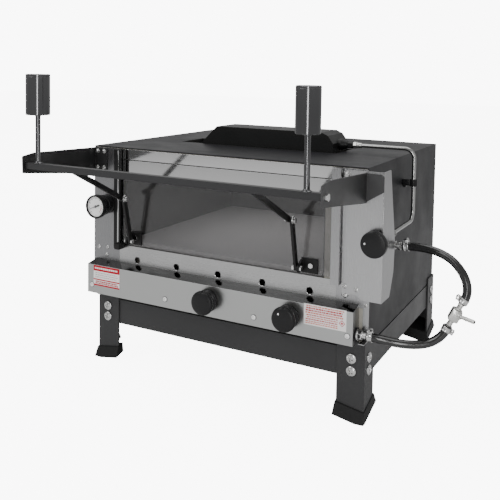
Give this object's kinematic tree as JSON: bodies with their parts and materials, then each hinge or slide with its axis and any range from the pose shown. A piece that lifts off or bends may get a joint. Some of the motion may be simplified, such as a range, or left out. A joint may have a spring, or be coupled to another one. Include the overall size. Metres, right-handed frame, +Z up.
{
  "type": "countertop gas oven",
  "caption": "Countertop gas oven on an angle-steel stand with a top burner, a tinted glass lift door moved by a weighted front bar and links, and a hose tee.",
  "frame": {"origin": "the point on the standing surface under the middle of the casing", "axes": "+X to the oven's right, +Y to its back, +Z up"},
  "size_m": [0.8067, 0.726, 0.611],
  "materials": {
    "casing_paint": "satin",
    "stand_paint": "satin",
    "black_paint": "satin",
    "bar_paint": "satin",
    "stainless": "brushed",
    "insulation": "matte",
    "baking_slab": "matte",
    "burner_ceramic": "matte",
    "rubber": "matte",
    "zinc": "satin",
    "nickel": "satin",
    "tube_metal": "satin",
    "brass": "satin",
    "black_plastic": "gloss",
    "dial_white": "matte",
    "needle_black": "matte",
    "door_glass": "polished"
  },
  "bodies": {
    "frame": {"outer_casing": "casing_paint", "inner_chamber": "stainless", "insulation": "insulation", "baking_slab": "baking_slab", "front_header": "stainless", "left_column": "stainless", "right_column": "stainless", "sill_plate": "stainless", "left_guide": "black_paint", "right_guide": "stainless", "valve_panel": "stainless", "control_box": "stainless", "hose_strap": "stainless", "front_rail": "stand_paint", "rear_rail": "stand_paint", "left_rail": "stand_paint", "right_rail": "stand_paint", "leg_front_left": "stand_paint", "leg_front_right": "stand_paint", "leg_rear_left": "stand_paint", "leg_rear_right": "stand_paint", "shoe_front_left": "rubber", "shoe_front_right": "rubber", "shoe_rear_left": "rubber", "shoe_rear_right": "rubber", "leg_bolts": "zinc", "panel_screws": "zinc", "thermometer_case": "black_plastic", "thermometer_dial": "dial_white", "front_valves": "brass", "gas_manifold": "zinc", "side_valve": "nickel", "floor_burners": "zinc", "top_burner_housing": "black_paint", "burner_plaque": "burner_ceramic", "burner_venturi": "black_paint", "gas_tube": "tube_metal", "tube_clip": "black_paint", "hose_upper": "rubber", "hose_lower": "rubber", "tee_fitting": "nickel", "hose_clamps": "zinc", "left_arm": "black_paint", "right_arm": "stand_paint"},
    "lift_frame": {"cross_bar": "bar_paint", "counterweight_left": "bar_paint", "counterweight_right": "bar_paint", "crank_left": "black_paint", "crank_right": "black_paint", "pivot_bolts": "zinc"},
    "door": {"door_glass": "door_glass", "door_bracket_left": "black_paint", "door_bracket_right": "black_paint", "door_pins": "zinc"},
    "left_link": {"link_left": "black_paint"},
    "right_link": {"link_right": "black_paint"},
    "middle_knob": {"front_knob_middle": "black_plastic"},
    "right_knob": {"front_knob_right": "black_plastic"},
    "burner_knob": {"side_knob": "black_plastic"},
    "needle": {"thermometer_needle": "needle_black"}
  },
  "joints": [
    {"name": "lift_bar_turn", "type": "hinge", "parent": "frame", "child": "lift_frame", "pos_m": [0, -0.444, 0.4365], "axis": [1, 0, 0], "range_deg": [0, 48]},
    {"name": "door_lift", "type": "slide", "parent": "frame", "child": "door", "axis": [0, 0, 1], "range_m": [0, 0.133]},
    {"name": "left_link_swing", "type": "hinge", "parent": "door", "child": "left_link", "pos_m": [-0.1875, -0.276, 0.2695], "axis": [1, 0, 0], "range_deg": [-4.7, 0]},
    {"name": "right_link_swing", "type": "hinge", "parent": "door", "child": "right_link", "pos_m": [0.1855, -0.276, 0.2695], "axis": [1, 0, 0], "range_deg": [-4.7, 0]},
    {"name": "middle_knob_turn", "type": "hinge", "parent": "frame", "child": "middle_knob", "pos_m": [0, -0.285, 0.178], "axis": [0, -1, 0], "range_deg": [0, 180]},
    {"name": "right_knob_turn", "type": "hinge", "parent": "frame", "child": "right_knob", "pos_m": [0.172, -0.285, 0.178], "axis": [0, -1, 0], "range_deg": [0, 180]},
    {"name": "burner_knob_turn", "type": "hinge", "parent": "frame", "child": "burner_knob", "pos_m": [0.326, -0.26, 0.328], "axis": [0, -1, 0], "range_deg": [0, 180]},
    {"name": "needle_turn", "type": "hinge", "parent": "frame", "child": "needle", "pos_m": [-0.273, -0.284, 0.333], "axis": [0, 1, 0], "range_deg": [0, 240]}
  ],
  "couplings": [
    {"joint": "door_lift", "follows": "lift_bar_turn", "m_per_rad": 0.15854},
    {"joint": "left_link_swing", "follows": "lift_bar_turn", "ratio": -0.09667},
    {"joint": "right_link_swing", "follows": "lift_bar_turn", "ratio": -0.09667}
  ]
}
